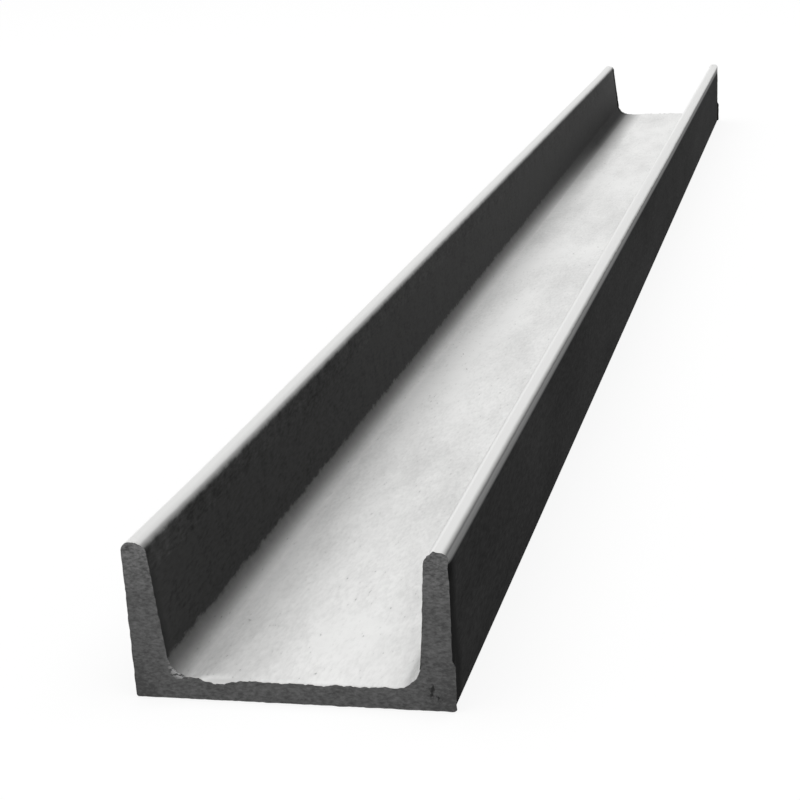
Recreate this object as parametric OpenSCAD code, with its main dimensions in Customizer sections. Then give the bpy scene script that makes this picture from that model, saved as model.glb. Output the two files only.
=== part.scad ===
// Hot-rolled steel channel with tapered flanges, sawn to length.
// It lies on the back of its web with both flanges up. The length runs along Y,
// the depth across the flanges along X, and the origin is under its middle.

/* [Section] */
// Depth over the outer faces of the two flanges
depth = 76.2; // [60:0.1:300]
// Width of each flange, from the back of the web to the toe
flange_width = 38.1; // [30:0.1:100]
// Thickness of the web
web_t = 5.1; // [4:0.1:14]
// Thickness of a flange, half way along the part of it that stands clear of the web
flange_t = 6.8; // [6:0.1:16]
// Slope of the inner flange faces against the outer ones, in degrees
flange_slope = 5; // [0:0.5:7]

/* [Radii] */
// Fillet between the web and the inner face of a flange
root_r = 6; // [3:0.1:16]
// Rounding of the inner edge of each toe
toe_r = 2.4; // [1:0.1:8]
// Rounding of the outer edge of each toe
toe_edge_r = 2; // [0.2:0.1:3]
// Rounding of the two heels, where the web's back meets the flanges
heel_r = 0.6; // [0.2:0.1:3]

/* [Length] */
// Length between the two sawn ends
length = 1000; // [250:10:12000]

/* [Hidden] */
$fn = 96;

// How far a cutting shape reaches past the face that it opens
past = 1;
// How much deeper than tangent a rounding sits, so that its arc crosses both faces
lap = 0.001;

// How much thinner a flange gets for each step towards its toe
taper = tan(flange_slope);

// Height at which the flange thickness is measured
mid_flange = (web_t + flange_width) / 2;

// Half the clear depth between the inner flange faces at height z
function inner_x(z) = depth / 2 - flange_t + taper * (z - mid_flange);

// Thickness of a flange at its toe, which limits the toe's rounding
tip_t = depth / 2 - inner_x(flange_width);
toe_fit = min(toe_r, tip_t - toe_edge_r);

// Step of length d square to the leaning face at +X, out of the trough
function to_face(d) = d * [cos(flange_slope), -sin(flange_slope)];

// Root fillet: its centre, in the open, and the point beside it on the flange
root_d = root_r - lap;
root_c = [inner_x(web_t + root_d) - root_d / cos(flange_slope), web_t + root_d];
root_on_flange = root_c + to_face(root_d);

// Toe rounding: its centre, in the steel, and the point beside it on the flange
toe_d = toe_fit - lap;
toe_c = [inner_x(flange_width - toe_d) + toe_d / cos(flange_slope), flange_width - toe_d];
toe_on_flange = toe_c - to_face(toe_d);

// A shape drawn at +X, and its mirror image at -X
module both_sides() {
    children();
    mirror([1, 0]) children();
}

// What a rounding of radius r takes off a square corner at the origin
module corner_waste(r) {
    difference() {
        translate([-r, -r]) square(r + past);
        translate([-r, -r]) circle(r);
    }
}

// The plain rectangle that encloses the section
module envelope() {
    translate([-depth / 2, 0]) square([depth, flange_width]);
}

// The open trough, with its floor on the web and its sides on the flanges
module trough() {
    top = flange_width + past;
    polygon([
        [-root_c.x, web_t],
        [root_c.x, web_t],
        root_on_flange,
        [inner_x(top), top],
        [-inner_x(top), top],
        [-root_on_flange.x, root_on_flange.y]
    ]);
    both_sides() translate(root_c) circle(root_r);
}

// What the rounding takes off the inner edge of the toe at +X
module toe_waste() {
    top = flange_width + past;
    difference() {
        polygon([
            toe_on_flange,
            [toe_on_flange.x, top],
            [toe_c.x, top],
            toe_c
        ]);
        translate(toe_c) circle(toe_fit);
    }
}

// The rolled section, in X and Y, with the back of the web on Y = 0
module section() {
    difference() {
        envelope();
        trough();
        both_sides() {
            toe_waste();
            translate([depth / 2, flange_width]) corner_waste(toe_edge_r);
            translate([depth / 2, 0]) mirror([0, 1]) corner_waste(heel_r);
        }
    }
}

// The channel: one rolled length, cut square at both ends
module channel() {
    color("dimgray")
        rotate([90, 0, 0])
            linear_extrude(height = length, center = true)
                section();
}

channel();
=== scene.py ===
import math

import bpy
from mathutils import Euler, Matrix, Vector


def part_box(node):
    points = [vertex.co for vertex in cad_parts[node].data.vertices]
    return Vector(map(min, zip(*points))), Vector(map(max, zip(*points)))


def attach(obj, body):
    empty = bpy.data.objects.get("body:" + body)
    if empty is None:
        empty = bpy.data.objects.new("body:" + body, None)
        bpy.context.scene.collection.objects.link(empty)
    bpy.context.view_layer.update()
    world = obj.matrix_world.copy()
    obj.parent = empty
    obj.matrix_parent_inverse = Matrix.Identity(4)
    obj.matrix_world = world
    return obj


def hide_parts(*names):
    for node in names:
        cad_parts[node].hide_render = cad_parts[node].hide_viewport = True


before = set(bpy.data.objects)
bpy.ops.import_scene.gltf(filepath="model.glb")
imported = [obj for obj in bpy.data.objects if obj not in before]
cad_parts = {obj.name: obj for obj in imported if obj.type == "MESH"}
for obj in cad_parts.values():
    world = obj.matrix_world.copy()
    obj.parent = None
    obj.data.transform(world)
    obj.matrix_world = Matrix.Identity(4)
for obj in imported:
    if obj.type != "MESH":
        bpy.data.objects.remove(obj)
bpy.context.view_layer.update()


# The channel: one length of mild steel, rolled hot to a U with tapered flanges and round toes.
# Rolling leaves it in dark scale, which is rubbed bright on the floor of the web and on the toes, and
# that brightness is also painted light from above.
# A saw cut both ends square and left fine marks, a few pits and a torn burr along the web.

MM = 0.001
low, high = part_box("channel")
length = high.y - low.y
depth = high.x - low.x
toe_z = high.z
web_t = 5.1 * MM
flange_t = 6.8 * MM
taper = math.tan(math.radians(5))
root_r = 6 * MM
toe_r = 2.4 * MM
toe_edge_r = 2 * MM
heel_r = 0.6 * MM
# The toe's flat crown is what its two roundings leave, and the two paths below start on it
crown_x = depth / 2 - toe_edge_r - 0.6 * MM
crown_half = 0.3 * MM


def inner_x(z):
    """Half the clear width between the flanges at height z."""
    return depth / 2 - flange_t + taper * (z - (web_t + toe_z) / 2)


# Corners of the right half of the section, each with the radius that rounds it
trough_half = [
    (crown_x - crown_half, toe_z, 0),
    (inner_x(toe_z), toe_z, toe_r),
    (inner_x(web_t), web_t, root_r),
]
back_half = [
    (crown_x + crown_half, toe_z, 0),
    (depth / 2, toe_z, toe_edge_r),
    (depth / 2, 0, heel_r),
]

# Two paths from the left toe to the right one: over the trough, and round the back
corners = []
edges = []
for half in (trough_half, back_half):
    path = [(-x, z, r) for x, z, r in half] + half[::-1]
    edges += [(len(corners) + i, len(corners) + i + 1) for i in range(len(path) - 1)]
    corners += path

section = bpy.data.meshes.new("channel_section")
section.from_pydata([(x, 0, z) for x, z, r in corners], edges, [])
rounding = section.attributes.new("rounding", "FLOAT", "POINT")
rounding.data.foreach_set("value", [r for x, z, r in corners])

channel = bpy.data.objects.new("channel_steel", section)
bpy.context.scene.collection.objects.link(channel)


def add(tree, kind, inputs=None, out=0, **settings):
    """Adds a node, sets it, links or fills its inputs, and gives one of its outputs."""
    node = tree.nodes.new(kind)
    for name, value in settings.items():
        setattr(node, name, value)
    for key, value in (inputs or {}).items():
        if isinstance(value, bpy.types.NodeSocket):
            tree.links.new(value, node.inputs[key])
        else:
            node.inputs[key].default_value = value
    return node.outputs[out] if node.outputs else None


def linear(hex_colour):
    """An sRGB hex colour as linear red, green, blue and alpha."""
    shares = [int(hex_colour[i:i + 2], 16) / 255 for i in (1, 3, 5)]
    return [s / 12.92 if s <= 0.04045 else ((s + 0.055) / 1.055) ** 2.4 for s in shares] + [1]


def new_material(name):
    """An empty node material and its tree."""
    material = bpy.data.materials.new(name)
    material.use_nodes = True
    material.node_tree.nodes.clear()
    return material, material.node_tree


# Hot-rolled mild steel: a thin skin of dark scale that is nearly matt, with faint drawn lines
# along the length. Where it faces up the scale is rubbed to a bright satin, and that bright is
# also painted light from above; beside a cut it is drawn black.
scale_hex = "#121212"
scale_thin_and_lit_hex = "#3c3c3c"
rounding_half_shade_hex = "#6e6e6e"
black_hex = "#0c0c0c"
bright_hex = "#eeeeed"
smudge_hex = "#d4d4d3"
toe_hex = "#dadad9"
toe_lit_edge_hex = "#f0f0ef"
speck_hex = "#acacab"
rim_and_fold_shade_hex = "#cacac9"
# The real grain of the scale is finer than a pixel: it is drawn as coarse as it takes to show
cloud_size = 24 * MM
mottle_size = 6 * MM
grain_size = 0.8 * MM
streak_size = 1.6 * MM
# The rolls draw the marks out along the length, and the streaks much further
drawn_marks = (1, 0.25, 1)
drawn_streaks = (1, 0.02, 1)
# Above this height a face belongs to a toe
toe_zone = 30 * MM
# How far the black band at a cut is pushed about by the noises, and how soft its edge is
band_ragged = 5 * MM
band_soft = 2 * MM
bright_metal = 0.55
bright_rough = 0.38
scale_rough = 0.7
skin_gloss = 0.01
skin_relief = 0.2 * MM

rolled, t = new_material("hot_rolled_mild_steel")
place = add(t, "ShaderNodeTexCoord", out="Object")
at = add(t, "ShaderNodeSeparateXYZ", {0: place}).node.outputs
drawn_out = add(t, "ShaderNodeVectorMath", {0: place, 1: drawn_marks}, operation="MULTIPLY")
cloud = add(t, "ShaderNodeTexNoise",
            {"Vector": drawn_out, "Scale": 1 / cloud_size, "Detail": 5, "Roughness": 0.6})
mottle = add(t, "ShaderNodeTexNoise",
             {"Vector": place, "Scale": 1 / mottle_size, "Detail": 5, "Roughness": 0.65})
grain = add(t, "ShaderNodeTexNoise", {"Vector": drawn_out, "Scale": 1 / grain_size, "Detail": 3})
along = add(t, "ShaderNodeVectorMath", {0: place, 1: drawn_streaks}, operation="MULTIPLY")
streak = add(t, "ShaderNodeTexNoise", {"Vector": along, "Scale": 1 / streak_size, "Detail": 3})

# How bright a face is drawn, as scale rubbed off and as painted light from above: all of it on
# level faces, less as a rounding turns away. A rounding that looks left stays bright for longer,
# which is painted light from the left.
facing = add(t, "ShaderNodeAttribute", out="Vector", attribute_name="facing")
facing = add(t, "ShaderNodeSeparateXYZ", {0: facing}).node.outputs
upward = add(t, "ShaderNodeClamp", {"Value": facing["Z"]})
rise = add(t, "ShaderNodeMath", {0: upward}, operation="ARCSINE")
rise = add(t, "ShaderNodeMath", {0: rise, 1: math.pi / 2}, operation="DIVIDE")
# The bright share is uneven: not at all on upright faces, most on tilted ones and little on level ones
uneven = add(t, "ShaderNodeMath", {0: mottle, 1: 0.5}, operation="SUBTRACT")
flecks = add(t, "ShaderNodeMath", {0: grain, 1: 0.5}, operation="SUBTRACT")
uneven = add(t, "ShaderNodeMath", {0: flecks, 1: 0.5, 2: uneven}, operation="MULTIPLY_ADD")
upright_turn, tilted_turn, level_turn = 0.03, 0.13, 0.5
tilted_spread, level_spread = 0.4, 0.05
tilted = add(t, "ShaderNodeMapRange", {
    "Value": rise,
    "From Min": upright_turn,
    "From Max": tilted_turn,
    "To Max": tilted_spread,
})
levelled = add(t, "ShaderNodeMapRange", {
    "Value": rise,
    "From Min": tilted_turn,
    "From Max": level_turn,
    "To Min": tilted_spread,
    "To Max": level_spread,
})
tilted = add(t, "ShaderNodeMath", {0: tilted, 1: levelled}, operation="MINIMUM")
uneven = add(t, "ShaderNodeMath", {0: uneven, 1: tilted, 2: rise}, operation="MULTIPLY_ADD")
# Towards the far end the toes are drawn bright further down their sides, most of all the right one
on_right = add(t, "ShaderNodeMath", {0: at["X"], 1: 0}, operation="GREATER_THAN")
far_ramp_end_y = 0.1
far_ramp = add(t, "ShaderNodeMapRange", {"Value": at["Y"], "From Min": low.y, "From Max": far_ramp_end_y})
toe_bright_depth = 4 * MM
below_toe = add(t, "ShaderNodeMapRange", {
    "Value": at["Z"],
    "From Min": toe_z - toe_edge_r - toe_bright_depth,
    "From Max": toe_z - toe_edge_r,
    "To Min": -1,
    "To Max": 0,
})
right_turn = add(t, "ShaderNodeMath", {0: far_ramp, 1: 0.6, 2: below_toe}, operation="MULTIPLY_ADD")
right_turn = add(t, "ShaderNodeMath", {0: uneven, 1: right_turn})
left_turn = add(t, "ShaderNodeMapRange",
                {"Value": rise, "From Min": 0.05, "From Max": 0.35, "To Max": 0.14})
left_turn = add(t, "ShaderNodeMath", {0: left_turn, 1: far_ramp, 2: uneven}, operation="MULTIPLY_ADD")
# Share of the quarter turn from upright to level, and how bright a face is drawn there by wear and
# painted light
root_wear_and_light = [(0.06, 0.026), (0.15, 0.033), (0.22, 0.09), (0.44, 0.175), (0.61, 0.29), (0.78, 0.46),
             (0.89, 0.59), (0.95, 0.75)]
left_toe_wear_and_light = [(0.06, 0.026), (0.16, 0.08), (0.33, 0.28), (0.5, 0.5), (0.67, 0.86), (0.83, 0.94),
                 (0.92, 0.97)]
# The right toe's curve stays dark further up its rounding, as painted shade on a face turned from the
# light
right_toe_wear_and_shade = [(0.06, 0.02), (0.16, 0.04), (0.33, 0.07), (0.5, 0.11), (0.6, 0.3), (0.67, 0.44),
                  (0.83, 0.76), (0.92, 0.92)]
worn_and_lit = []
for brightness_curve, turned in ((root_wear_and_light, uneven), (left_toe_wear_and_light, left_turn), (right_toe_wear_and_shade, right_turn)):
    share = add(t, "ShaderNodeFloatCurve", {"Value": turned})
    for turn, bare in brightness_curve:
        share.node.mapping.curves[0].points.new(turn, bare)
    share.node.mapping.update()
    worn_and_lit.append(share)
on_toe = add(t, "ShaderNodeMath", {0: at["Z"], 1: toe_zone}, operation="GREATER_THAN")
toe_worn_and_lit = add(t, "ShaderNodeMix", {0: on_right, 2: worn_and_lit[1], 3: worn_and_lit[2]})
steep = add(t, "ShaderNodeMix", {0: on_toe, 2: worn_and_lit[0], 3: toe_worn_and_lit})
gentle = add(t, "ShaderNodeMapRange",
             {"Value": uneven, "From Min": 0.09, "From Max": 0.25}, interpolation_type="SMOOTHSTEP")
# A face that leans back only a little is just skimmed, as the one across the trough is
skimmed = add(t, "ShaderNodeMapRange",
              {"Value": rise, "From Min": 0.02, "From Max": 0.05, "To Max": 0.03})
gentle = add(t, "ShaderNodeMath", {0: gentle, 1: skimmed}, operation="MAXIMUM")
looks_right = add(t, "ShaderNodeMapRange",
                  {"Value": facing["X"], "From Min": -0.02, "From Max": 0.02})
# The bright share mixed here is wear plus painted light from above and from the left
rubbed_and_lit = add(t, "ShaderNodeMix", {0: looks_right, 2: gentle, 3: steep})
# Towards the far end painted shadow of the left flange reaches further in over the web
dark_x, clear_x = -28 * MM, -13 * MM
reach_from_y, reach_full_y = 0.02, 0.35
above_root_z, by_root_z = 25 * MM, 8 * MM
off_root = add(t, "ShaderNodeMapRange", {"Value": at["X"], "From Min": dark_x, "From Max": clear_x})
far_web = add(t, "ShaderNodeMapRange",
              {"Value": at["Y"], "From Min": reach_from_y, "From Max": reach_full_y})
by_root = add(t, "ShaderNodeMapRange",
              {"Value": at["Z"], "From Min": above_root_z, "From Max": by_root_z})
far_web = add(t, "ShaderNodeMath", {0: far_web, 1: by_root}, operation="MULTIPLY")
clear_of_root_shadow = add(t, "ShaderNodeMix", {0: far_web, 2: 1.0, 3: off_root})
rubbed_and_lit = add(t, "ShaderNodeMath", {0: rubbed_and_lit, 1: clear_of_root_shadow}, operation="MULTIPLY")
torn = add(t, "ShaderNodeAttribute", out="Fac", attribute_name="torn")
torn = add(t, "ShaderNodeMath", {0: torn, 1: grain}, operation="MULTIPLY")
rubbed_and_lit = add(t, "ShaderNodeMath", {0: rubbed_and_lit, 1: torn}, operation="MAXIMUM")

# Dark scale, thinner in faint patches, and lighter on the left and towards the far end as painted
# light on the flanges' faces, and black for a few millimetres at a cut
patches_and_light = add(t, "ShaderNodeMath", {0: grain, 1: 1.2, 2: cloud}, operation="MULTIPLY_ADD")
patches_and_light = add(t, "ShaderNodeMath", {0: at["X"], 1: -0.8, 2: patches_and_light}, operation="MULTIPLY_ADD")
far_left_light = add(t, "ShaderNodeMath", {0: at["X"], 1: -18, 2: 0.7}, operation="MULTIPLY_ADD")
patches_and_light = add(t, "ShaderNodeMath", {0: far_ramp, 1: far_left_light, 2: patches_and_light}, operation="MULTIPLY_ADD")
thin_and_lit = add(t, "ShaderNodeMapRange", {"Value": patches_and_light, "From Min": 0.75, "From Max": 2.45})
scale_colour = add(t, "ShaderNodeMix", {0: thin_and_lit, 6: linear(scale_hex), 7: linear(scale_thin_and_lit_hex)},
                   out=2, data_type="RGBA")
from_middle = add(t, "ShaderNodeMath", {0: at["Y"]}, operation="ABSOLUTE")
to_cut = add(t, "ShaderNodeMath", {0: length / 2, 1: from_middle}, operation="SUBTRACT")
ragged = add(t, "ShaderNodeMath", {0: cloud, 1: -band_ragged, 2: to_cut}, operation="MULTIPLY_ADD")
ragged = add(t, "ShaderNodeMath", {0: mottle, 1: -band_ragged, 2: ragged}, operation="MULTIPLY_ADD")
# The band is narrower on the left, and on the right it widens towards the heel as painted shadow under
# the heel burr
left_less, heel_shadow_width = 2 * MM, 4 * MM
heel_shadow = add(t, "ShaderNodeMapRange", {
    "Value": at["Z"],
    "From Min": 10 * MM,
    "From Max": 22 * MM,
    "To Min": -heel_shadow_width,
    "To Max": 0,
})
wider = add(t, "ShaderNodeMix", {0: on_right, 2: left_less, 3: heel_shadow})
ragged = add(t, "ShaderNodeMath", {0: ragged, 1: wider})
cut_band = add(t, "ShaderNodeMapRange", {
    "Value": ragged,
    "From Min": -band_soft,
    "From Max": band_soft,
    "To Min": 1,
    "To Max": 0,
})
scale_colour = add(t, "ShaderNodeMix", {0: cut_band, 6: scale_colour, 7: linear(black_hex)},
                   out=2, data_type="RGBA")

# The right toe's outer rounding is painted a mid grey, as painted half shade where it turns from the
# light
half_shade_top = add(t, "ShaderNodeMapRange",
                {"Value": right_turn, "From Min": 0.42, "From Max": 0.56, "To Min": 1, "To Max": 0})
half_shade_foot = add(t, "ShaderNodeMapRange", {"Value": right_turn, "From Min": -0.2, "From Max": 0.08})
rounding_half_shade = add(t, "ShaderNodeMath", {0: half_shade_top, 1: half_shade_foot}, operation="MULTIPLY")
rounding_half_shade = add(t, "ShaderNodeMath", {0: rounding_half_shade, 1: on_toe}, operation="MULTIPLY")
rounding_half_shade = add(t, "ShaderNodeMath", {0: rounding_half_shade, 1: on_right}, operation="MULTIPLY")
rounding_half_shade = add(t, "ShaderNodeMath", {0: rounding_half_shade, 1: looks_right}, operation="MULTIPLY")
scale_colour = add(t, "ShaderNodeMix", {0: rounding_half_shade, 6: scale_colour, 7: linear(rounding_half_shade_hex)},
                   out=2, data_type="RGBA")

# Bright steel with soft smudges and a few specks
dull = add(t, "ShaderNodeMath", {0: grain, 1: 0.5, 2: cloud}, operation="MULTIPLY_ADD")
smudged = add(t, "ShaderNodeMapRange", {"Value": dull, "From Min": 0.65, "From Max": 1.0})
bright_colour = add(t, "ShaderNodeMix", {0: smudged, 6: linear(bright_hex), 7: linear(smudge_hex)},
                    out=2, data_type="RGBA")
specks = add(t, "ShaderNodeMapRange", {"Value": grain, "From Min": 0.7, "From Max": 0.78})
bright_colour = add(t, "ShaderNodeMix", {0: specks, 6: bright_colour, 7: linear(speck_hex)},
                    out=2, data_type="RGBA")

# The toes are a little darker than the web, except on the edges that look left, which are painted
# light from the left; the web along a cut is darker too, most of all where the saw folded it over,
# as painted shade that takes the glint off it
looks_left = add(t, "ShaderNodeMapRange", {"Value": facing["X"], "From Min": -0.15, "From Max": -0.5})
toe_colour = add(t, "ShaderNodeMix", {0: looks_left, 6: linear(toe_hex), 7: linear(toe_lit_edge_hex)},
                 out=2, data_type="RGBA")
bright_colour = add(t, "ShaderNodeMix", {0: on_toe, 6: bright_colour, 7: toe_colour},
                    out=2, data_type="RGBA")
rim_and_fold_shade = add(t, "ShaderNodeAttribute", out="Fac", attribute_name="rim_and_fold_shade")
bright_colour = add(t, "ShaderNodeMix", {0: rim_and_fold_shade, 6: bright_colour, 7: linear(rim_and_fold_shade_hex)},
                    out=2, data_type="RGBA")

# Bare steel is part metal to the eye and smoother, and the painted-shade rim and fold and the scale are
# no metal
colour = add(t, "ShaderNodeMix", {0: rubbed_and_lit, 6: scale_colour, 7: bright_colour},
             out=2, data_type="RGBA")
metal = add(t, "ShaderNodeMath",
            {0: rim_and_fold_shade, 1: -bright_metal, 2: bright_metal}, operation="MULTIPLY_ADD")
metal = add(t, "ShaderNodeMath", {0: rubbed_and_lit, 1: metal}, operation="MULTIPLY")
rough = add(t, "ShaderNodeMapRange", {"Value": rubbed_and_lit, "To Min": scale_rough, "To Max": bright_rough})
height = add(t, "ShaderNodeMath", {0: streak, 1: 0.5, 2: grain}, operation="MULTIPLY_ADD")
bump = add(t, "ShaderNodeBump", {"Height": height, "Strength": 0.1, "Distance": skin_relief})
skin = add(t, "ShaderNodeBsdfPrincipled", {
    "Base Color": colour,
    "Metallic": metal,
    "Roughness": rough,
    "Normal": bump,
    "Specular IOR Level": skin_gloss,
})
add(t, "ShaderNodeOutputMaterial", {"Surface": skin})

# Sawn mild steel: dull grey metal with fine slanting saw lines, specks and small torn pits.
sawn_hex = "#636363"
sawn_toe_hex = "#7a7a7a"
sawn_dark_hex = "#404040"
pit_hex = "#262626"
torn_hex = "#b0b0b0"
# The saw's real lines are finer than a pixel: they are drawn as coarse as it takes to show
line_size = 0.6 * MM
line_slant = math.radians(35)
blotch_size = 2.2 * MM
sawn_metal = 0.3
sawn_rough = 0.55
sawn_gloss = 0.3
sawn_relief = 0.2 * MM
# The pits are where a noise stands above a level, which rises away from their place
pit_seed = 4.0
pit_grain = 1.7 * MM
pit_level_in = 0.5
pit_level_out = 0.88
pit_edge = 0.06
pit_place = (33 * MM, 0, 4.6 * MM)
# Which stretch of the noise the pits are taken from
pit_pattern = (10.15 * MM, 0, 4.55 * MM)
pit_spread = 10 * MM

sawn, t = new_material("sawn_mild_steel")
place = add(t, "ShaderNodeTexCoord", out="Object")
slanted = add(t, "ShaderNodeMapping", {
    "Vector": place,
    "Rotation": (0, line_slant, 0),
    "Scale": (0.5, 1, 1),
})
lines = add(t, "ShaderNodeTexNoise",
            {"Vector": slanted, "Scale": 1 / line_size, "Detail": 3, "Roughness": 0.6})
blotches = add(t, "ShaderNodeTexNoise",
               {"Vector": place, "Scale": 1 / blotch_size, "Detail": 5, "Roughness": 0.7})
tone = add(t, "ShaderNodeMath", {0: lines, 1: 1.6, 2: blotches}, operation="MULTIPLY_ADD")
darker = add(t, "ShaderNodeMapRange", {"Value": tone, "From Min": 0.95, "From Max": 1.65})
# The toes' ends come out a little lighter, and the heels a little darker
at = add(t, "ShaderNodeSeparateXYZ", {0: place}).node.outputs
lighter = add(t, "ShaderNodeMapRange", {"Value": at["Z"], "From Min": 24 * MM, "From Max": 38 * MM})
colour = add(t, "ShaderNodeMix", {0: lighter, 6: linear(sawn_hex), 7: linear(sawn_toe_hex)},
             out=2, data_type="RGBA")
sideways = add(t, "ShaderNodeMath", {0: at["X"]}, operation="ABSOLUTE")
sideways = add(t, "ShaderNodeMapRange", {"Value": sideways, "From Min": 28 * MM, "From Max": 38 * MM})
low_down = add(t, "ShaderNodeMapRange", {"Value": at["Z"], "From Min": 14 * MM, "From Max": 2 * MM})
heel_shade = add(t, "ShaderNodeMath", {0: sideways, 1: low_down}, operation="MULTIPLY")
darker = add(t, "ShaderNodeMath",
             {0: heel_shade, 1: 0.5, 2: darker}, operation="MULTIPLY_ADD", use_clamp=True)
colour = add(t, "ShaderNodeMix", {0: darker, 6: colour, 7: linear(sawn_dark_hex)},
             out=2, data_type="RGBA")
# The pits are drawn dark, and the torn root is light and dark
flat = add(t, "ShaderNodeVectorMath", {0: place, 1: (1, 0, 1)}, operation="MULTIPLY")
off_pits = add(t, "ShaderNodeVectorMath", {0: flat, 1: pit_place}, out="Value", operation="DISTANCE")
pit_level = add(t, "ShaderNodeMapRange", {
    "Value": off_pits,
    "From Max": pit_spread,
    "To Min": pit_level_in,
    "To Max": pit_level_out,
})
in_pattern = add(t, "ShaderNodeVectorMath", {0: flat, 1: pit_pattern})
pitted = add(t, "ShaderNodeTexNoise",
             {"Vector": in_pattern, "W": pit_seed, "Scale": 1 / pit_grain, "Detail": 2},
             noise_dimensions="4D")
pitted = add(t, "ShaderNodeMath", {0: pitted, 1: pit_level}, operation="SUBTRACT")
pitted = add(t, "ShaderNodeMapRange", {"Value": pitted, "From Max": pit_edge})
colour = add(t, "ShaderNodeMix", {0: pitted, 6: colour, 7: linear(pit_hex)}, out=2, data_type="RGBA")
torn = add(t, "ShaderNodeAttribute", out="Fac", attribute_name="torn")
torn_light = add(t, "ShaderNodeMapRange", {"Value": lines, "From Min": 0.47, "From Max": 0.53})
torn_light = add(t, "ShaderNodeMath", {0: torn_light, 1: torn}, operation="MULTIPLY")
torn_dark = add(t, "ShaderNodeMapRange", {"Value": lines, "From Min": 0.46, "From Max": 0.4})
torn_dark = add(t, "ShaderNodeMath", {0: torn_dark, 1: torn}, operation="MULTIPLY")
colour = add(t, "ShaderNodeMix", {0: torn_light, 6: colour, 7: linear(torn_hex)},
             out=2, data_type="RGBA")
colour = add(t, "ShaderNodeMix", {0: torn_dark, 6: colour, 7: linear(pit_hex)},
             out=2, data_type="RGBA")
bump = add(t, "ShaderNodeBump", {"Height": tone, "Strength": 0.15, "Distance": sawn_relief})
cut_face = add(t, "ShaderNodeBsdfPrincipled", {
    "Base Color": colour,
    "Metallic": sawn_metal,
    "Roughness": sawn_rough,
    "Normal": bump,
    "Specular IOR Level": sawn_gloss,
})
add(t, "ShaderNodeOutputMaterial", {"Surface": cut_face})

# The form: a block of rows along, across and through is bent so that its top follows the
# trough's path and its bottom the back's, then its faces wave and its cut ends tear.
wave_size = 40 * MM
rag_size = 1.5 * MM
relief_size = 3 * MM
rim_width = 0.9 * MM
# A run of the path that is longer than these is a flange's side, or the web
flange_run = 20 * MM
web_run = 42 * MM
sharp_angle = math.radians(40)
# Nothing leans to the right of the first of these, and the left flange in full beyond the second
lean_none_x, lean_full_x = -20 * MM, -31 * MM
# The burr by the right heel ends between these heights, and the dent is above it
heel_burr_z, rolled_edge_z = 11 * MM, 12.5 * MM
dent_z, dent_half = 34 * MM, 3 * MM
# What counts as lying on a cut
cut_slack = 0.01 * MM

form = bpy.data.node_groups.new("rolled_and_sawn", "GeometryNodeTree")
modifier = channel.modifiers.new("form", "NODES")
form.interface.new_socket("Channel", in_out="OUTPUT", socket_type="NodeSocketGeometry")
form.interface.new_socket("Section", in_out="INPUT", socket_type="NodeSocketGeometry")
form_inputs = {
    "Length": ("NodeSocketFloat", length),
    "Arc Points": ("NodeSocketInt", 12),
    "Flange Cuts": ("NodeSocketInt", 44),
    "Extra Web Cuts": ("NodeSocketInt", 46),
    "Rows Along": ("NodeSocketInt", 170),
    "Rows Through": ("NodeSocketInt", 18),
    "End Spacing": ("NodeSocketFloat", 0.07),
    "Roll Wave": ("NodeSocketFloat", 0.06 * MM),
    "Left Lean": ("NodeSocketFloat", 0.034),
    "Lean Along": ("NodeSocketFloat", 0.015),
    "Lean Reach": ("NodeSocketFloat", 60 * MM),
    "Burr Reach": ("NodeSocketFloat", 2.6 * MM),
    "Burr": ("NodeSocketFloat", 1.8 * MM),
    "Left Root Burr": ("NodeSocketFloat", 0.75 * MM),
    "Right Root Burr": ("NodeSocketFloat", -0.45 * MM),
    "Toe Burr": ("NodeSocketFloat", 0.5 * MM),
    "Rolled Edge": ("NodeSocketFloat", -0.1 * MM),
    "Edge Dent": ("NodeSocketFloat", 0.4 * MM),
    "Heel Burr": ("NodeSocketFloat", 0.7 * MM),
    "Curl Place": ("NodeSocketFloat", -27 * MM),
    "Curl Width": ("NodeSocketFloat", 4 * MM),
    "Curl Height": ("NodeSocketFloat", 0.5 * MM),
    "Fold Place": ("NodeSocketFloat", -17.2 * MM),
    "Fold Width": ("NodeSocketFloat", 6 * MM),
    "Fold Depth": ("NodeSocketFloat", 0.9 * MM),
    "Saw Relief": ("NodeSocketFloat", 0.2 * MM),
    "Pit Depth": ("NodeSocketFloat", 0.6 * MM),
    "Pit Grain": ("NodeSocketFloat", pit_grain),
    "Pit Place": ("NodeSocketVector", pit_place),
    "Pit Spread": ("NodeSocketFloat", pit_spread),
    "Pit Pattern": ("NodeSocketVector", pit_pattern),
    "Seed": ("NodeSocketFloat", pit_seed),
    "Rolled": ("NodeSocketMaterial", rolled),
    "Sawn": ("NodeSocketMaterial", sawn),
}
modifier.node_group = form
for name, (kind, value) in form_inputs.items():
    item = form.interface.new_socket(name, in_out="INPUT", socket_type=kind)
    modifier[item.identifier] = value

given = form.nodes.new("NodeGroupInput").outputs
here = add(form, "GeometryNodeInputPosition")

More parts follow.
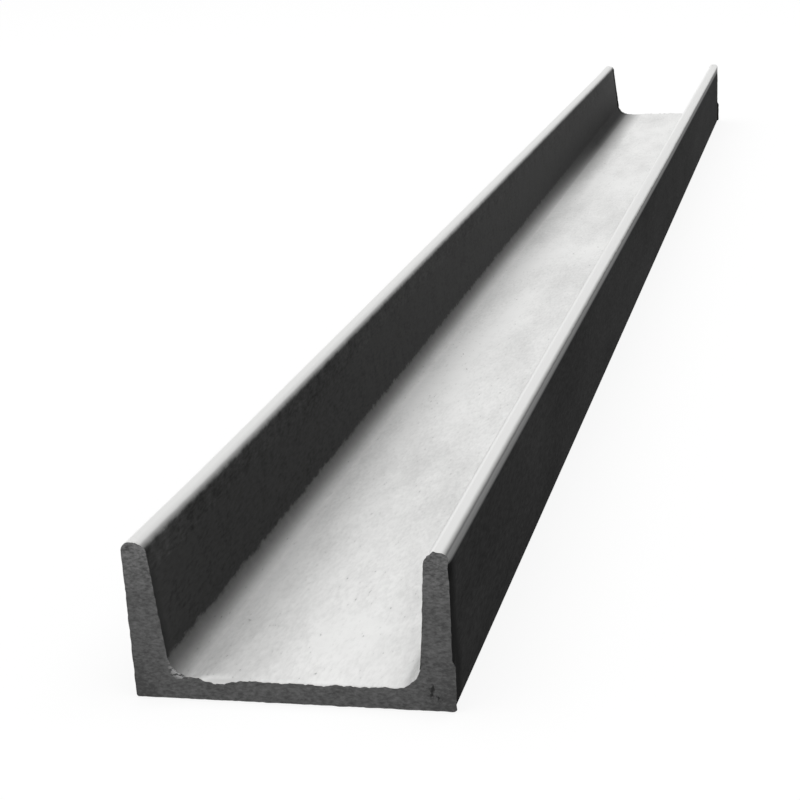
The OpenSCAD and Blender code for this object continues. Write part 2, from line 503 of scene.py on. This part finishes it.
# The two paths, with rounded corners and the same number of points on each
paths = add(form, "GeometryNodeMeshToCurve", {"Mesh": given["Section"]})
radius = add(form, "GeometryNodeInputNamedAttribute", {"Name": "rounding"})
paths = add(form, "GeometryNodeFilletCurve",
            {"Curve": paths, "Count": given["Arc Points"], "Radius": radius}, mode="POLY")
after = add(form, "GeometryNodeOffsetPointInCurve", {"Offset": 1}, out="Point Index")
after = add(form, "GeometryNodeFieldAtIndex", {"Value": here, "Index": after}, data_type="FLOAT_VECTOR")
stretch = add(form, "ShaderNodeVectorMath", {0: here, 1: after}, out="Value", operation="DISTANCE")
is_straight = add(form, "ShaderNodeMath", {0: stretch, 1: flange_run}, operation="GREATER_THAN")
is_web = add(form, "ShaderNodeMath", {0: stretch, 1: web_run}, operation="GREATER_THAN")
web_cuts = add(form, "ShaderNodeMath", {0: is_web, 1: given["Extra Web Cuts"]}, operation="MULTIPLY")
cuts = add(form, "ShaderNodeMath",
           {0: is_straight, 1: given["Flange Cuts"], 2: web_cuts}, operation="MULTIPLY_ADD")
paths = add(form, "GeometryNodeSubdivideCurve", {"Curve": paths, "Cuts": cuts})
points = add(form, "GeometryNodeAttributeDomainSize", {"Geometry": paths}, component="CURVE")
across = add(form, "ShaderNodeMath", {0: points, 1: 2}, operation="DIVIDE")

# The straight block, with its cut faces marked before it is bent
block = add(form, "GeometryNodeMeshCube", {
    "Vertices X": across,
    "Vertices Y": given["Rows Along"],
    "Vertices Z": given["Rows Through"],
})
share = add(form, "ShaderNodeVectorMath", {0: here, 1: (0.5, 0.5, 0.5)})
share = add(form, "ShaderNodeSeparateXYZ", {0: share}).node.outputs
off_middle = add(form, "ShaderNodeMath", {0: share["Y"], 1: 0.5}, operation="SUBTRACT")
off_middle = add(form, "ShaderNodeMath", {0: off_middle}, operation="ABSOLUTE")
at_cut = add(form, "ShaderNodeMath", {0: off_middle, 1: 0.4999}, operation="GREATER_THAN")
block = add(form, "GeometryNodeStoreNamedAttribute",
            {"Geometry": block, "Name": "sawn", "Value": at_cut}, data_type="BOOLEAN", domain="FACE")
block = add(form, "GeometryNodeStoreNamedAttribute",
            {"Geometry": block, "Name": "through", "Value": share["Z"]},
            data_type="FLOAT", domain="POINT")

# Where each point of the block goes
last = add(form, "ShaderNodeMath", {0: across, 1: 1}, operation="SUBTRACT")
station = add(form, "ShaderNodeMath", {0: share["X"], 1: last}, operation="MULTIPLY")
station = add(form, "ShaderNodeMath", {0: station}, operation="ROUND")
back_station = add(form, "ShaderNodeMath", {0: station, 1: across})
on_trough = add(form, "GeometryNodeSampleIndex",
                {"Geometry": paths, "Value": here, "Index": station}, data_type="FLOAT_VECTOR")
on_back = add(form, "GeometryNodeSampleIndex",
              {"Geometry": paths, "Value": here, "Index": back_station}, data_type="FLOAT_VECTOR")
through = add(form, "ShaderNodeMix", {0: share["Z"], 4: on_back, 5: on_trough},
              out=1, data_type="VECTOR")
# Which way is out of the steel there, from the direction that the paths run in
tangent = add(form, "GeometryNodeInputTangent")
trough_way = add(form, "GeometryNodeSampleIndex",
                 {"Geometry": paths, "Value": tangent, "Index": station}, data_type="FLOAT_VECTOR")
back_way = add(form, "GeometryNodeSampleIndex",
               {"Geometry": paths, "Value": tangent, "Index": back_station}, data_type="FLOAT_VECTOR")
trough_out = add(form, "ShaderNodeVectorMath", {0: trough_way, 1: (0, 1, 0)}, operation="CROSS_PRODUCT")
back_out = add(form, "ShaderNodeVectorMath", {0: back_way, 1: (0, -1, 0)}, operation="CROSS_PRODUCT")
by_trough = add(form, "ShaderNodeMath", {0: share["Z"], 1: 0.5}, operation="GREATER_THAN")
outward = add(form, "ShaderNodeMix", {0: by_trough, 4: back_out, 5: trough_out},
              out=1, data_type="VECTOR")
block = add(form, "GeometryNodeStoreNamedAttribute",
            {"Geometry": block, "Name": "outward", "Value": outward},
            data_type="FLOAT_VECTOR", domain="POINT")
nearest = add(form, "ShaderNodeMix", {0: by_trough, 4: on_back, 5: on_trough},
              out=1, data_type="VECTOR")
block = add(form, "GeometryNodeStoreNamedAttribute",
            {"Geometry": block, "Name": "rim", "Value": nearest},
            data_type="FLOAT_VECTOR", domain="POINT")
# Rows along the length, closest together near the ends
eased = add(form, "ShaderNodeMapRange", {"Value": share["Y"]}, interpolation_type="SMOOTHSTEP")
eased = add(form, "ShaderNodeMix", {0: given["End Spacing"], 2: eased, 3: share["Y"]})
from_middle = add(form, "ShaderNodeMath", {0: eased, 1: 0.5}, operation="SUBTRACT")
run = add(form, "ShaderNodeMath", {0: from_middle, 1: given["Length"]}, operation="MULTIPLY")
# The left flange stands a little out of square, turned about its lower third, most at its ends
end_half = add(form, "ShaderNodeMath", {0: given["Length"], 1: 2}, operation="DIVIDE")
from_end = add(form, "ShaderNodeMath", {0: run}, operation="ABSOLUTE")
from_end = add(form, "ShaderNodeMath", {0: end_half, 1: from_end}, operation="SUBTRACT")
full_lean = add(form, "ShaderNodeMapRange", {
    "Value": from_end,
    "From Max": given["Lean Reach"],
    "To Min": given["Left Lean"],
    "To Max": given["Lean Along"],
}, interpolation_type="SMOOTHSTEP")
spot = add(form, "ShaderNodeSeparateXYZ", {0: through}).node.outputs
over_middle = add(form, "ShaderNodeMath", {0: spot["Z"], 1: toe_z / 3}, operation="SUBTRACT")
in_left = add(form, "ShaderNodeMapRange", {
    "Value": spot["X"],
    "From Min": lean_none_x,
    "From Max": lean_full_x,
    "To Max": full_lean,
})
lean = add(form, "ShaderNodeMath", {0: over_middle, 1: in_left}, operation="MULTIPLY")
lean = add(form, "ShaderNodeMath", {0: lean, 1: -1}, operation="MULTIPLY")
lean = add(form, "ShaderNodeCombineXYZ", {"X": lean})
through = add(form, "ShaderNodeVectorMath", {0: through, 1: lean})
run = add(form, "ShaderNodeCombineXYZ", {"Y": run})
bent = add(form, "ShaderNodeVectorMath", {0: through, 1: run})
solid = add(form, "GeometryNodeSetPosition", {"Geometry": block, "Position": bent})

# Sharp at the cut edges, smooth elsewhere, and which way each face looks
solid = add(form, "GeometryNodeSetShadeSmooth", {"Geometry": solid, "Shade Smooth": True})
angle = add(form, "GeometryNodeInputMeshEdgeAngle")
is_sharp = add(form, "FunctionNodeCompare", {0: angle, 1: sharp_angle})
solid = add(form, "GeometryNodeSetShadeSmooth",
            {"Geometry": solid, "Selection": is_sharp, "Shade Smooth": False}, domain="EDGE")
normal = add(form, "GeometryNodeInputNormal")
solid = add(form, "GeometryNodeStoreNamedAttribute",
            {"Geometry": solid, "Name": "facing", "Value": normal},
            data_type="FLOAT_VECTOR", domain="CORNER")

# Slow waves that the rolls leave in the faces
slow = add(form, "ShaderNodeVectorMath", {0: here, 1: (1, 0.5, 1)}, operation="MULTIPLY")
wave = add(form, "ShaderNodeTexNoise",
           {"Vector": slow, "W": given["Seed"], "Scale": 1 / wave_size, "Detail": 1},
           noise_dimensions="4D")
wave = add(form, "ShaderNodeMath", {0: wave, 1: 0.5}, operation="SUBTRACT")
wave = add(form, "ShaderNodeMath", {0: wave, 1: given["Roll Wave"]}, operation="MULTIPLY")

# How near a point is to a cut, on which side of the steel it is, and how upright its face stands
split = add(form, "ShaderNodeSeparateXYZ", {0: here}).node.outputs
out_y = add(form, "ShaderNodeMath", {0: split["Y"]}, operation="ABSOLUTE")
to_cut = add(form, "ShaderNodeMath", {0: end_half, 1: out_y}, operation="SUBTRACT")
beside = add(form, "ShaderNodeMapRange",
             {"Value": to_cut, "From Max": given["Burr Reach"], "To Min": 1, "To Max": 0})
at_rim = add(form, "ShaderNodeMapRange",
             {"Value": to_cut, "From Max": rim_width, "To Min": 1, "To Max": 0})
deep = add(form, "GeometryNodeInputNamedAttribute", {"Name": "through"})
trough_side = add(form, "ShaderNodeMath", {0: deep, 1: 0.5}, operation="GREATER_THAN")
back_side = add(form, "ShaderNodeMath", {0: 1, 1: trough_side}, operation="SUBTRACT")
# A rim draws the cut face along with it, less and less towards the middle of the steel
pull = add(form, "ShaderNodeMapRange", {"Value": deep, "To Min": -1, "To Max": 1})
pull = add(form, "ShaderNodeMath", {0: pull, 1: 2}, operation="POWER")
rim_place = add(form, "GeometryNodeInputNamedAttribute", {"Name": "rim"}, data_type="FLOAT_VECTOR")
along = add(form, "ShaderNodeCombineXYZ", {"Y": split["Y"]})
rim_place = add(form, "ShaderNodeVectorMath", {0: rim_place, 1: along})
right_half = add(form, "ShaderNodeMath", {0: split["X"], 1: 0}, operation="GREATER_THAN")
outward = add(form, "GeometryNodeInputNamedAttribute", {"Name": "outward"}, data_type="FLOAT_VECTOR")
level = add(form, "ShaderNodeSeparateXYZ", {0: outward}, out="Z")
level = add(form, "ShaderNodeMath", {0: level}, operation="ABSOLUTE")
upright = add(form, "ShaderNodeMath", {0: 1, 1: level}, operation="SUBTRACT")

# The burr: all rims are a little ragged, most of all along the web on the trough's side
rag = add(form, "ShaderNodeTexNoise",
          {"Vector": rim_place, "W": given["Seed"], "Scale": 1 / rag_size, "Detail": 2},
          noise_dimensions="4D")
rag = add(form, "ShaderNodeMath", {0: rag, 1: 0.5}, operation="SUBTRACT")
burr = add(form, "ShaderNodeMath", {0: trough_side, 1: level}, operation="MULTIPLY")
burr = add(form, "ShaderNodeMapRange", {"Value": burr, "To Min": 0.3, "To Max": 1})
burr = add(form, "ShaderNodeMath", {0: burr, 1: given["Burr"]}, operation="MULTIPLY")
rim = add(form, "ShaderNodeMath", {0: rag, 1: burr}, operation="MULTIPLY")

# It stands out from the flanges' inner edges, and curls up at the left root
root_burr = add(form, "ShaderNodeMix",
                {0: right_half, 2: given["Left Root Burr"], 3: given["Right Root Burr"]})
inner_burr = add(form, "ShaderNodeMapRange", {
    "Value": split["Z"],
    "From Min": web_t + root_r,
    "From Max": toe_z - toe_r,
    "To Min": root_burr,
    "To Max": given["Toe Burr"],
})
inner_burr = add(form, "ShaderNodeMath", {0: inner_burr, 1: upright}, operation="MULTIPLY")
off_curl = add(form, "ShaderNodeMath", {0: split["X"], 1: given["Curl Place"]}, operation="SUBTRACT")
off_curl = add(form, "ShaderNodeMath", {0: off_curl}, operation="ABSOLUTE")
curl = add(form, "ShaderNodeMapRange", {
    "Value": off_curl,
    "From Max": given["Curl Width"],
    "To Min": given["Curl Height"],
    "To Max": 0,
}, interpolation_type="SMOOTHSTEP")
inner_burr = add(form, "ShaderNodeMath", {0: inner_burr, 1: curl})
rim = add(form, "ShaderNodeMath", {0: inner_burr, 1: trough_side, 2: rim}, operation="MULTIPLY_ADD")
rim = add(form, "ShaderNodeMath", {0: rim, 1: at_rim}, operation="MULTIPLY")

# The web's edge folds down over the sawn face in one place, and the right flange's outer edge
# is rolled back by the saw, with a burr below it by the heel
off_fold = add(form, "ShaderNodeMath", {0: split["X"], 1: given["Fold Place"]}, operation="SUBTRACT")
off_fold = add(form, "ShaderNodeMath", {0: off_fold}, operation="ABSOLUTE")
fold = add(form, "ShaderNodeMapRange", {
    "Value": off_fold,
    "From Max": given["Fold Width"],
    "To Min": given["Fold Depth"],
    "To Max": 0,
}, interpolation_type="SMOOTHSTEP")
fold = add(form, "ShaderNodeMath", {0: fold, 1: trough_side}, operation="MULTIPLY")
fold = add(form, "ShaderNodeMath", {0: fold, 1: level}, operation="MULTIPLY")
outer_edge = add(form, "ShaderNodeMapRange", {
    "Value": split["Z"],
    "From Min": heel_burr_z,
    "From Max": rolled_edge_z,
    "To Min": given["Heel Burr"],
    "To Max": given["Rolled Edge"],
})
off_dent = add(form, "ShaderNodeMath", {0: split["Z"], 1: dent_z}, operation="SUBTRACT")
off_dent = add(form, "ShaderNodeMath", {0: off_dent}, operation="ABSOLUTE")
dent = add(form, "ShaderNodeMapRange",
           {"Value": off_dent, "From Max": dent_half, "To Min": given["Edge Dent"], "To Max": 0})
outer_edge = add(form, "ShaderNodeMath", {0: outer_edge, 1: dent}, operation="SUBTRACT")
outer_edge = add(form, "ShaderNodeMath", {0: outer_edge, 1: right_half}, operation="MULTIPLY")
outer_edge = add(form, "ShaderNodeMath", {0: outer_edge, 1: back_side}, operation="MULTIPLY")
outer_edge = add(form, "ShaderNodeMath", {0: outer_edge, 1: upright}, operation="MULTIPLY")
bend = add(form, "ShaderNodeMath", {0: outer_edge, 1: fold}, operation="SUBTRACT")
lift = add(form, "ShaderNodeMath", {0: bend, 1: beside, 2: rim}, operation="MULTIPLY_ADD")
lift = add(form, "ShaderNodeMath", {0: lift, 1: wave})
lift = add(form, "ShaderNodeMath", {0: lift, 1: pull}, operation="MULTIPLY")
lift = add(form, "ShaderNodeVectorMath", {0: outward, "Scale": lift}, operation="SCALE")

# The saw's marks: shallow relief over the cut faces, and pits by one heel
relief = add(form, "ShaderNodeTexNoise",
             {"Vector": here, "W": given["Seed"], "Scale": 1 / relief_size, "Detail": 3},
             noise_dimensions="4D")
relief = add(form, "ShaderNodeMath", {0: relief, 1: given["Saw Relief"]}, operation="MULTIPLY")
flat = add(form, "ShaderNodeVectorMath", {0: here, 1: (1, 0, 1)}, operation="MULTIPLY")
off_pits = add(form, "ShaderNodeVectorMath", {0: flat, 1: given["Pit Place"]},
               out="Value", operation="DISTANCE")
pit_level = add(form, "ShaderNodeMapRange", {
    "Value": off_pits,
    "From Max": given["Pit Spread"],
    "To Min": pit_level_in,
    "To Max": pit_level_out,
})
pit_scale = add(form, "ShaderNodeMath", {0: 1, 1: given["Pit Grain"]}, operation="DIVIDE")
in_pattern = add(form, "ShaderNodeVectorMath", {0: flat, 1: given["Pit Pattern"]})
pit = add(form, "ShaderNodeTexNoise",
          {"Vector": in_pattern, "W": given["Seed"], "Scale": pit_scale, "Detail": 2},
          noise_dimensions="4D")
pit = add(form, "ShaderNodeMath", {0: pit, 1: pit_level}, operation="SUBTRACT")
pit = add(form, "ShaderNodeMapRange", {"Value": pit, "From Max": pit_edge})
on_cut = add(form, "ShaderNodeMapRange", {"Value": pull, "From Min": 0.99, "From Max": 0.8})
at_cut = add(form, "ShaderNodeMath", {0: to_cut, 1: cut_slack}, operation="LESS_THAN")
on_cut = add(form, "ShaderNodeMath", {0: on_cut, 1: at_cut}, operation="MULTIPLY")
pit = add(form, "ShaderNodeMath", {0: pit, 1: on_cut}, operation="MULTIPLY")
sunk = add(form, "ShaderNodeMath", {0: relief, 1: on_cut}, operation="MULTIPLY")
sunk = add(form, "ShaderNodeMath", {0: pit, 1: given["Pit Depth"], 2: sunk}, operation="MULTIPLY_ADD")
over = add(form, "ShaderNodeMath", {0: fold, 1: beside}, operation="MULTIPLY")
over = add(form, "ShaderNodeMath", {0: over, 1: pull}, operation="MULTIPLY")
over = add(form, "ShaderNodeMath", {0: over, 1: 0.5}, operation="MULTIPLY")
reach = add(form, "ShaderNodeMath", {0: over, 1: sunk}, operation="SUBTRACT")
end_sign = add(form, "ShaderNodeMath", {0: split["Y"]}, operation="SIGN")
reach = add(form, "ShaderNodeMath", {0: reach, 1: end_sign}, operation="MULTIPLY")
reach = add(form, "ShaderNodeCombineXYZ", {"Y": reach})
moved = add(form, "ShaderNodeVectorMath", {0: lift, 1: reach})

# Marks for the materials: torn steel where the burr curls, and painted shade on the web's edge at a cut
# and on its fold
bare = add(form, "ShaderNodeMath", {0: curl, 1: given["Curl Height"]}, operation="DIVIDE")
bare = add(form, "ShaderNodeMath", {0: bare, 1: at_rim}, operation="MULTIPLY")
bare = add(form, "ShaderNodeMath", {0: bare, 1: trough_side}, operation="MULTIPLY")
by_rim = add(form, "ShaderNodeMapRange", {"Value": pull, "From Min": 0.4, "From Max": 0.8})
bare = add(form, "ShaderNodeMath", {0: bare, 1: by_rim}, operation="MULTIPLY")
solid = add(form, "GeometryNodeStoreNamedAttribute",
            {"Geometry": solid, "Name": "torn", "Value": bare}, data_type="FLOAT", domain="POINT")
bent_over = add(form, "ShaderNodeMath", {0: fold, 1: given["Fold Depth"]}, operation="DIVIDE")
bent_over = add(form, "ShaderNodeMath", {0: bent_over, 1: beside}, operation="MULTIPLY")
bent_over = add(form, "ShaderNodeMapRange", {"Value": bent_over, "From Max": 0.5})
rim_and_fold_shade = add(form, "ShaderNodeMath", {0: trough_side, 1: level}, operation="MULTIPLY")
rim_and_fold_shade = add(form, "ShaderNodeMath", {0: rim_and_fold_shade, 1: at_rim}, operation="MULTIPLY")
rim_and_fold_shade = add(form, "ShaderNodeMath", {0: rim_and_fold_shade, 1: bent_over}, operation="MAXIMUM")
solid = add(form, "GeometryNodeStoreNamedAttribute",
            {"Geometry": solid, "Name": "rim_and_fold_shade", "Value": rim_and_fold_shade}, data_type="FLOAT", domain="POINT")
solid = add(form, "GeometryNodeSetPosition", {"Geometry": solid, "Offset": moved})

solid = add(form, "GeometryNodeRealizeInstances", {"Geometry": solid})
solid = add(form, "GeometryNodeSetMaterial", {"Geometry": solid, "Material": given["Rolled"]})
is_sawn = add(form, "GeometryNodeInputNamedAttribute", {"Name": "sawn"}, data_type="BOOLEAN")
solid = add(form, "GeometryNodeSetMaterial",
            {"Geometry": solid, "Selection": is_sawn, "Material": given["Sawn"]})
add(form, "NodeGroupOutput", {"Channel": solid})

drawn = bpy.context.evaluated_depsgraph_get()
made = bpy.data.meshes.new_from_object(channel.evaluated_get(drawn))
channel.modifiers.remove(modifier)
channel.data = made
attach(channel, "root")
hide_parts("channel")


# The studio: a pale floor under the part, white all round, and one broad lamp overhead.
# Camera, mirror and glass rays see white; the part itself is lit by the lamp and a dim sky.
floor_hex = "#fafafa"
floor_half = 30
floor_gap = 0.2 * MM
floor_glow = 0.85
sky_light = 0.5

floor_mesh = bpy.data.meshes.new("floor")
floor_corners = [(-1, -1), (1, -1), (1, 1), (-1, 1)]
floor_mesh.from_pydata(
    [(x * floor_half, y * floor_half, 0) for x, y in floor_corners], [], [(0, 1, 2, 3)])
floor = bpy.data.objects.new("floor", floor_mesh)
bpy.context.scene.collection.objects.link(floor)
floor.location.z = low.z - floor_gap

paper, t = new_material("white_paper")
path_kind = add(t, "ShaderNodeLightPath").node.outputs
seen = add(t, "ShaderNodeMath",
           {0: path_kind["Is Camera Ray"], 1: path_kind["Is Glossy Ray"]}, operation="MAXIMUM")
seen = add(t, "ShaderNodeMath", {0: seen, 1: path_kind["Is Transmission Ray"]}, operation="MAXIMUM")
glow = add(t, "ShaderNodeMath", {0: seen, 1: floor_glow}, operation="MULTIPLY")
matt = add(t, "ShaderNodeBsdfDiffuse", {"Color": linear(floor_hex)})
white = add(t, "ShaderNodeEmission", {"Color": (1, 1, 1, 1), "Strength": 1})
mixed = add(t, "ShaderNodeMixShader", {0: glow, 1: matt, 2: white})
add(t, "ShaderNodeOutputMaterial", {"Surface": mixed})
floor_mesh.materials.append(paper)

sky = bpy.data.worlds.new("studio")
sky.use_nodes = True
t = sky.node_tree
t.nodes.clear()
path_kind = add(t, "ShaderNodeLightPath").node.outputs
seen = add(t, "ShaderNodeMath",
           {0: path_kind["Is Camera Ray"], 1: path_kind["Is Glossy Ray"]}, operation="MAXIMUM")
seen = add(t, "ShaderNodeMath", {0: seen, 1: path_kind["Is Transmission Ray"]}, operation="MAXIMUM")
level = add(t, "ShaderNodeMapRange", {"Value": seen, "To Min": sky_light, "To Max": 1})
light = add(t, "ShaderNodeBackground", {"Color": (1, 1, 1, 1), "Strength": level})
add(t, "ShaderNodeOutputWorld", {"Surface": light})
bpy.context.scene.world = sky

lamp_size = 5
lamp_place = (-0.3, 0, 3)
lamp_radiance = 1.35
lamp = bpy.data.lights.new("overhead", "AREA")
lamp.size = lamp_size
lamp.energy = lamp_radiance * math.pi * lamp_size ** 2
overhead = bpy.data.objects.new("overhead", lamp)
overhead.location = lamp_place
# Bright steel mirrors the white round it and not the lamp, which would clip it from above
overhead.visible_glossy = False
bpy.context.scene.collection.objects.link(overhead)


# The camera stands to the right of the near end, above it, and looks down the length.
near_end = low.y
view_from = Vector((0.12188, near_end - 0.42259, 0.19021))
turn_left = math.radians(12.478)
look_down = math.radians(15.118)
tilt = math.radians(-2.261)
lens = bpy.data.cameras.new("camera")
lens.sensor_width = 36
lens.lens = 92.24
camera = bpy.data.objects.new("camera", lens)
aim = Euler((math.pi / 2 - look_down, 0, turn_left)).to_matrix() @ Matrix.Rotation(tilt, 3, "Z")
camera.matrix_world = Matrix.Translation(view_from) @ aim.to_4x4()
bpy.context.scene.collection.objects.link(camera)
bpy.context.scene.camera = camera
bpy.context.scene.view_settings.view_transform = "Standard"
